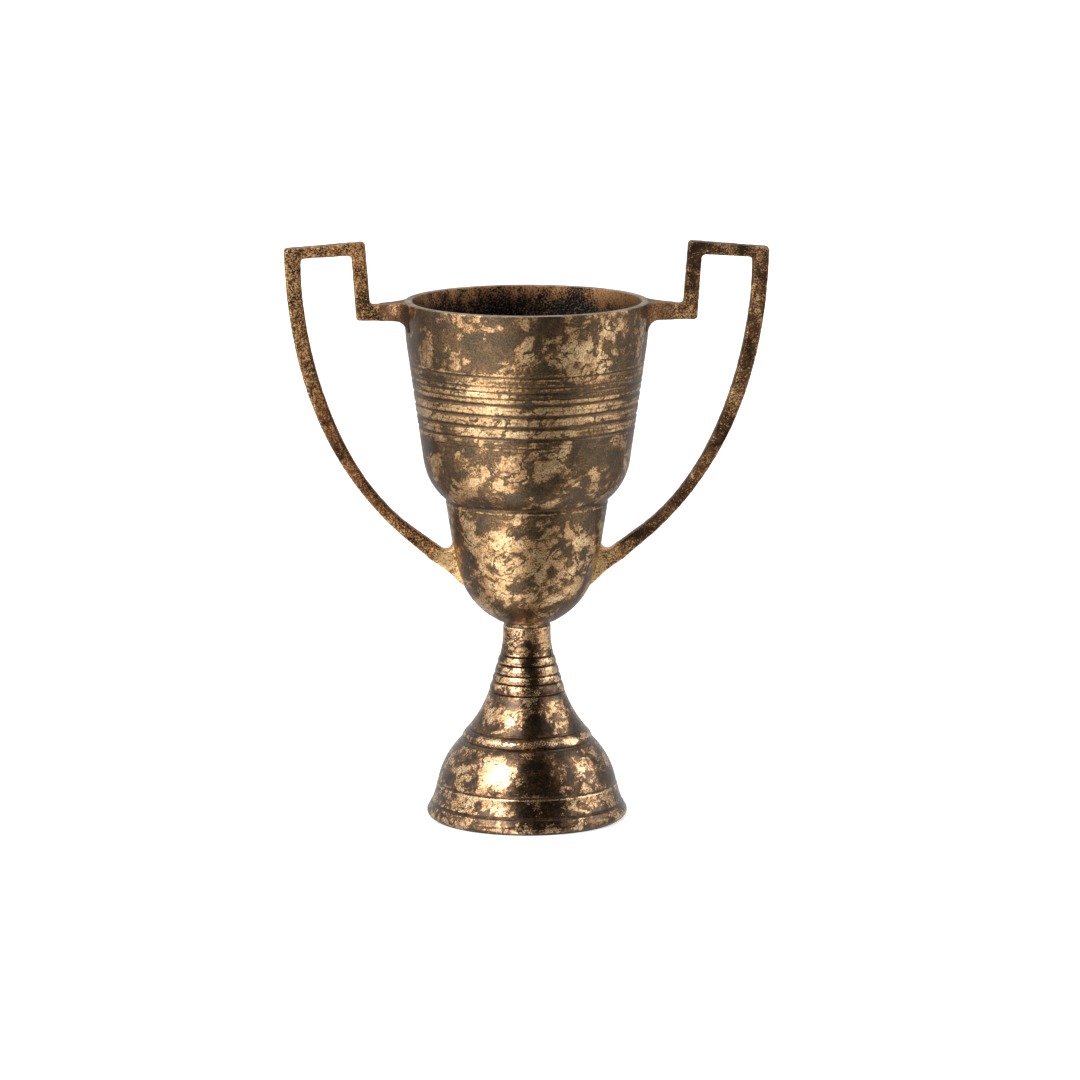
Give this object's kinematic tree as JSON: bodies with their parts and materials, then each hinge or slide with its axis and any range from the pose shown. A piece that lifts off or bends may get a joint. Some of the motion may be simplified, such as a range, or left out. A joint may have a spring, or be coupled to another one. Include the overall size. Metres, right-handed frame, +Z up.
{
  "type": "cup trophy",
  "caption": "Trophy cup with a stepped, grooved bowl on a ringed bell foot, squared step handles brazed at rim and lower cup, and a stud clamp inside the neck.",
  "frame": {"origin": "on the surface the trophy stands on, under the middle of the foot", "axes": "+Z up along the axis of bowl and foot; X runs through both handles, +X through handle_right; Y from front to back"},
  "size_m": [0.2516, 0.127, 0.3038],
  "materials": {
    "bowl_patina": "antiqued bronze, satin, dark patina with bright rubbed patches",
    "handle_bronze": "rough cast bronze, dark brown with gold speckle",
    "rim_braze": "filed braze metal under patina",
    "gold_braze": "bright filed braze metal",
    "foot_copper": "antiqued bronze, polished over dark grooves",
    "zinc_steel": "zinc plated",
    "felt": "dark wool felt"
  },
  "bodies": {
    "root": {"bowl": "bowl_patina", "handle_left": "handle_bronze", "handle_right": "handle_bronze", "rim_braze_left": "rim_braze", "rim_braze_right": "rim_braze", "cup_braze_left": "gold_braze", "cup_braze_right": "gold_braze", "foot": "foot_copper", "clamp_stud": "zinc_steel", "clamp_washer": "zinc_steel", "spring_washer": "zinc_steel", "clamp_nut": "zinc_steel", "base_felt": "felt"}
  },
  "joints": []
}
